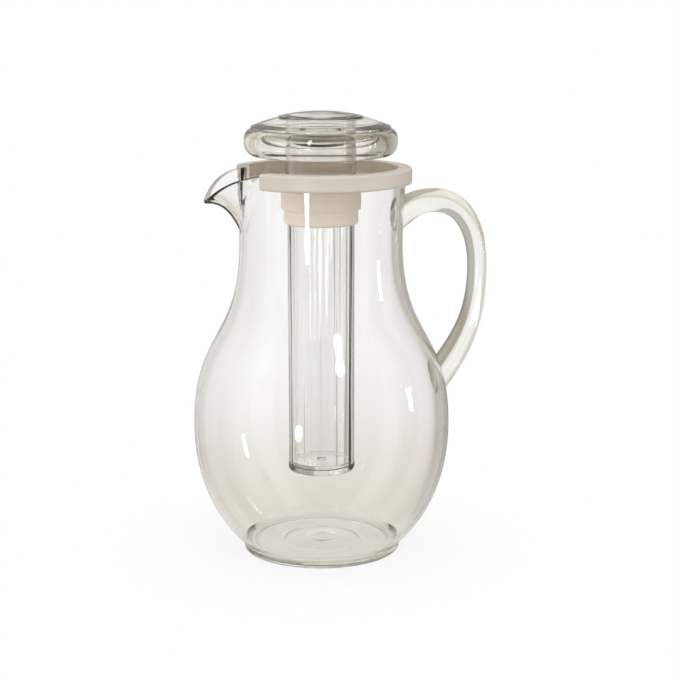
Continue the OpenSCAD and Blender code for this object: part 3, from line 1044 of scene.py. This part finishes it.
# %% The handle's middle line
root_z, arch_d, arch_z = 201.0 * MM, 71.0 * MM, 214.2 * MM
grip_d, grip_z, low_z = 100.5 * MM, 172.0 * MM, 95.0 * MM
root_t, arch_t, grip_t, low_t = 17.0 * MM, 14.6 * MM, 11.7 * MM, 17.6 * MM
root_w, grip_w = 18.0 * MM, 14.6 * MM
arch_w = (root_w + grip_w) / 2
root_d = neck_r - 3 * wall
low_d = belly_r - 4 * wall
root_shares, arch_shares = (0.42, 0.62), (0.45, 0.64)
grip_shares, low_shares = (0.6, 0.44), (0.72, 0.36)
root_to_arch = [
    (root_d, root_z), (between(root_d, arch_d, root_shares[0]), between(root_z, arch_z, root_shares[1])),
    (between(arch_d, root_d, arch_shares[0]), arch_z), (arch_d, arch_z)]
arch_to_grip = [
    (arch_d, arch_z), (between(arch_d, grip_d, arch_shares[1]), arch_z),
    (grip_d, between(grip_z, arch_z, grip_shares[0])), (grip_d, grip_z)]
grip_to_belly = [
    (grip_d, grip_z), (grip_d, between(grip_z, low_z, grip_shares[1])),
    (between(low_d, grip_d, low_shares[0]), between(low_z, grip_z, low_shares[1])), (low_d, low_z)]
bar_parts = [
    (root_to_arch, root_t, arch_t, root_w, arch_w),
    (arch_to_grip, arch_t, grip_t, arch_w, grip_w),
    (grip_to_belly, grip_t, low_t, grip_w, root_w)]
PATH_STEPS = 500


def bar_path():
    """Rows of x, z, direction x, direction z, half thickness and half width."""
    rows = []
    for points, t0, t1, w0, w1 in bar_parts:
        for i in range(0 if not rows else 1, PATH_STEPS + 1):
            u = i / PATH_STEPS
            s = u * u * (3 - 2 * u)
            p, d = bezier(points, u), bezier_direction(points, u)
            rows.append((p.x, p.y, d.x, d.y, between(t0, t1, s) / 2, between(w0, w1, s) / 2))
    return np.array(rows)


path_rows = bar_path()
print("handle path", len(path_rows), "rows")

# %% Where the bar meets the jug
BAR_SIDES = 64
BAR_RINGS = 150
WELD_GAP = 0.05 * MM


def bar_point(row, angle):
    x, z, dx, dz, thick, wide = row
    q = thick * math.cos(angle)
    return Vector((x - dz * q, wide * math.sin(angle), z + dx * q))


def seat_rows():
    """For each side line of the bar, the path rows between which it lies outside the jug."""
    spans = []
    for side in range(BAR_SIDES):
        angle = math.tau * side / BAR_SIDES
        clear = []
        for k, row in enumerate(path_rows):
            p = bar_point(row, angle)
            if math.hypot(p.x, p.y) > radius_at(p.z, 0.0) + WELD_GAP:
                clear.append(k)
        spans.append((float(clear[0]), float(clear[-1])))
    return spans


bar_spans = seat_rows()
print("bar lines start at path rows", min(s[0] for s in bar_spans), "to", max(s[0] for s in bar_spans))


# %% The sweep tree
def sweep_tree():
    tree, given = node_tree_with("sweep", {
        "Path": "Geometry", "Sides": "Int", "Rings": "Int", "Finish": "Material"}, "Bar")

    def stored(name, index):
        value = add_node(tree, "GeometryNodeInputNamedAttribute", {"Name": name}, data_type="FLOAT")
        return add_node(tree, "GeometryNodeSampleIndex", {
            "Geometry": given["Path"], "Index": index, "Value": value.outputs[0]},
            data_type="FLOAT", domain="POINT").outputs[0]

    def product(first, second):
        return math_step(tree, "MULTIPLY", first, second)

    grid, at = grid_steps(tree, 1.0, given["Rings"], math_step(tree, "ADD", given["Sides"], 1.0))
    ring_share = math_step(tree, "ADD", at["X"], 0.5)
    side_share = math_step(tree, "ADD", at["Y"], 0.5)
    side = math_step(tree, "ROUND", product(side_share, given["Sides"]))
    side = math_step(tree, "MODULO", side, given["Sides"])
    first, last = stored("first_row", side), stored("last_row", side)
    run = product(math_step(tree, "SUBTRACT", last, first), ring_share)
    row = math_step(tree, "ROUND", math_step(tree, "ADD", first, run))
    angle = product(side_share, math.tau)
    reach = product(stored("half_thickness", row), math_step(tree, "COSINE", angle))
    x = math_step(tree, "SUBTRACT", stored("place_x", row), product(stored("direction_z", row), reach))
    y = product(stored("half_width", row), math_step(tree, "SINE", angle))
    z = math_step(tree, "ADD", stored("place_z", row), product(stored("direction_x", row), reach))
    place = add_node(tree, "ShaderNodeCombineXYZ", {0: x, 1: y, 2: z})
    finish_tree(tree, bent_into_shape(tree, grid, place.outputs[0]), given["Finish"])
    return tree


# %% Handle mesh
ROW_NAMES = ("place_x", "place_z", "direction_x", "direction_z", "half_thickness", "half_width")


def store(mesh, name, values):
    mesh.attributes.new(name, "FLOAT", "POINT").data.foreach_set("value", values)


def path_mesh():
    """A mesh of the path's points that carries each row as attributes, for the sweep tree."""
    mesh = add_mesh("handle_path", [(r[0], 0, r[1]) for r in path_rows])
    for i, name in enumerate(ROW_NAMES):
        store(mesh, name, path_rows[:, i].copy())
    for end, name in enumerate(("first_row", "last_row")):
        values = np.zeros(len(path_rows))
        values[:BAR_SIDES] = [span[end] for span in bar_spans]
        store(mesh, name, values)
    return mesh


# %% Closing the bar's ends
END_SHARES = (0.85, 0.6, 0.3)
BAR_SHARP = math.radians(50)


def seated(p):
    """The point moved straight out from the axis or towards it, onto the jug's wall."""
    scale = (radius_at(p.z, 0.0) + WELD_GAP) / math.hypot(p.x, p.y)
    return Vector((p.x * scale, p.y * scale, p.z))


def close_ends(obj):
    """Fills both open ends with a skin that follows the jug's wall."""
    work = bmesh.new()
    work.from_mesh(obj.data)
    border = [e for e in work.edges if e.is_boundary]
    while border:
        loop, edge = [], border[0]
        vert = edge.verts[0]
        while edge is not None:
            loop.append(vert)
            border.remove(edge)
            vert = edge.other_vert(vert)
            edge = next((e for e in vert.link_edges if e in border), None)
        center = sum((v.co for v in loop), Vector()) / len(loop)
        ring = loop
        for share in END_SHARES:
            inner = [work.verts.new(seated(center.lerp(v.co, share))) for v in loop]
            for i, vert in enumerate(ring):
                j = (i + 1) % len(ring)
                work.faces.new((vert, ring[j], inner[j], inner[i]))
            ring = inner
        middle = work.verts.new(seated(center))
        for i, vert in enumerate(ring):
            work.faces.new((vert, ring[(i + 1) % len(ring)], middle))
    bmesh.ops.recalc_face_normals(work, faces=work.faces)
    for face in work.faces:
        face.smooth = True
    work.to_mesh(obj.data)
    work.free()


handle_bar = run_tree("handle_bar", sweep_tree(), path_mesh(), {
    "Sides": BAR_SIDES, "Rings": BAR_RINGS, "Finish": bar_clear})
one_material(handle_bar, bar_clear)
close_ends(handle_bar)
face_outward(handle_bar)
handle_bar.data.set_sharp_from_angle(angle=BAR_SHARP)
print("handle", len(handle_bar.data.polygons), "faces")

# %% [markdown]
# ## Lid ring
# The ivory ring straddles the jug's rim as an upside-down channel, and carries
# a recessed floor with the stepped sleeve in its middle. It is turned on the
# lathe first. Then a wedge is cut out in front of the beak, so that the drink
# can pass. The gap could be drawn into the outline of a partial turn, but the
# cut has straight sides and a round end, which a boolean gives at once. The
# cut's edges stay crisp, as they do on a moulding of this kind.

# %% Lid ring outline
skirt_h = 7.6 * MM
rim_play, inner_play, bore_play = 0.4 * MM, 0.3 * MM, 0.3 * MM
recess_depth = 8.4 * MM
sleeve_rise = 1.5 * MM
ring_soft = 0.35 * MM
ring_r = ring_high.y
ring_top = ring_high.z
skirt_z = rim_z - skirt_h
ring_in_r = rim_r + rim_play
inner_wall_r = rim_r - wall - inner_play
ring_round = 1.6 * MM
mouth_r = 46.3 * MM
recess_z = ring_top - recess_depth
recess_round = 1.2 * MM
floor_t = 2.0 * MM
step_r, guide_r = 24.2 * MM, 22.5 * MM
step_z = 211.8 * MM
ledge_z = tube_high.z - flange_t
sleeve_top = recess_z + sleeve_rise
upper_bore_r = flange_r + bore_play
lower_bore_r = tube_r + bore_play
sleeve_chamfer = 1.0 * MM

ring_outline = soften(
    [(inner_wall_r, rim_z + hair), (ring_in_r, rim_z + hair), (ring_in_r, skirt_z)]
    + arc_line((ring_r - ring_round, skirt_z + ring_round), ring_round, -90, 0, 8)
    + arc_line((ring_r - ring_round, ring_top - ring_round), ring_round, 0, 90, 8)
    + [(mouth_r, ring_top)]
    + arc_line((mouth_r - recess_round, recess_z + recess_round), recess_round, 0, -90, 6)
    + [(step_r, recess_z), (step_r, sleeve_top), (upper_bore_r, sleeve_top),
       (upper_bore_r, ledge_z - hair), (lower_bore_r, ledge_z - hair), (lower_bore_r, ring_low.z),
       (guide_r - sleeve_chamfer, ring_low.z), (guide_r, ring_low.z + sleeve_chamfer),
       (guide_r, step_z), (step_r, step_z), (step_r, recess_z - floor_t),
       (inner_wall_r, recess_z - floor_t)], ring_soft)
lid_ring = turned("lid_ring_ivory", ring_outline, ivory, steps=256, sharp=40)

# %% The gap for the beak
GAP_HALF = math.radians(34.5)
GAP_STEPS = 12
NOTCH_R = 31.0 * MM
OVERRUN = 4.0 * MM
PAST_RING = 1.4
CUT_SHARP = math.radians(32)


def wedge_cutter():
    """A solid wedge with a round inner end, a little taller and longer than the cut."""
    reach, spread = ring_r * PAST_RING, math.tan(GAP_HALF)
    low, high = recess_z - floor_t - OVERRUN, ring_top + OVERRUN
    arc = [GAP_HALF * (1 - i / GAP_STEPS) for i in range(2 * GAP_STEPS + 1)]
    flat = [(-NOTCH_R * math.cos(a), NOTCH_R * math.sin(a)) for a in arc]
    flat += [(-reach, -reach * spread), (-reach, reach * spread)]
    count = len(flat)
    points = [(x, y, low) for x, y in flat] + [(x, y, high) for x, y in flat]
    faces = [tuple(range(count)), tuple(range(count, 2 * count))]
    faces += [(i, (i + 1) % count, count + (i + 1) % count, count + i) for i in range(count)]
    obj = add_object("pour_gap", add_mesh("pour_gap", points, faces))
    face_outward(obj)
    return obj


def cut_gap(obj):
    cutter = wedge_cutter()
    cut = obj.modifiers.new("gap", "BOOLEAN")
    cut.operation = "DIFFERENCE"
    cut.solver = "EXACT"
    cut.object = cutter
    keep_result(obj)
    bpy.data.objects.remove(cutter)
    face_outward(obj)
    for polygon in obj.data.polygons:
        polygon.use_smooth = True
    obj.data.set_sharp_from_angle(angle=CUT_SHARP)
    one_material(obj, ivory)


cut_gap(lid_ring)
print("lid ring", len(lid_ring.data.polygons), "faces")

# %% [markdown]
# ## Seats in the frame
# Each piece stands for its CAD node and rides on the CAD body that carries it,
# so it moves with the joints.

# %% Bodies, nodes and slots
seats = [
    (pitcher_shell, "jug", "pitcher_body", "clear_shell"),
    (handle_bar, "jug", "handle", "clear_bar"),
    (lid_ring, "lid", "lid_ring", "ivory_plastic"),
    (ice_tube, "ice_core", "ice_tube", "clear_tube"),
    (tube_base, "ice_core", "tube_base", "clear_tube"),
    (cap_top, "cap", "cap_top", "clear_cap"),
    (cap_bowl, "cap", "cap_bowl", "clear_cap"),
]
for piece, body, node_name, slot_name in seats:
    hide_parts(node_name)
    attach(piece, body)

# %% View settings
bpy.context.scene.view_settings.view_transform = "Standard"
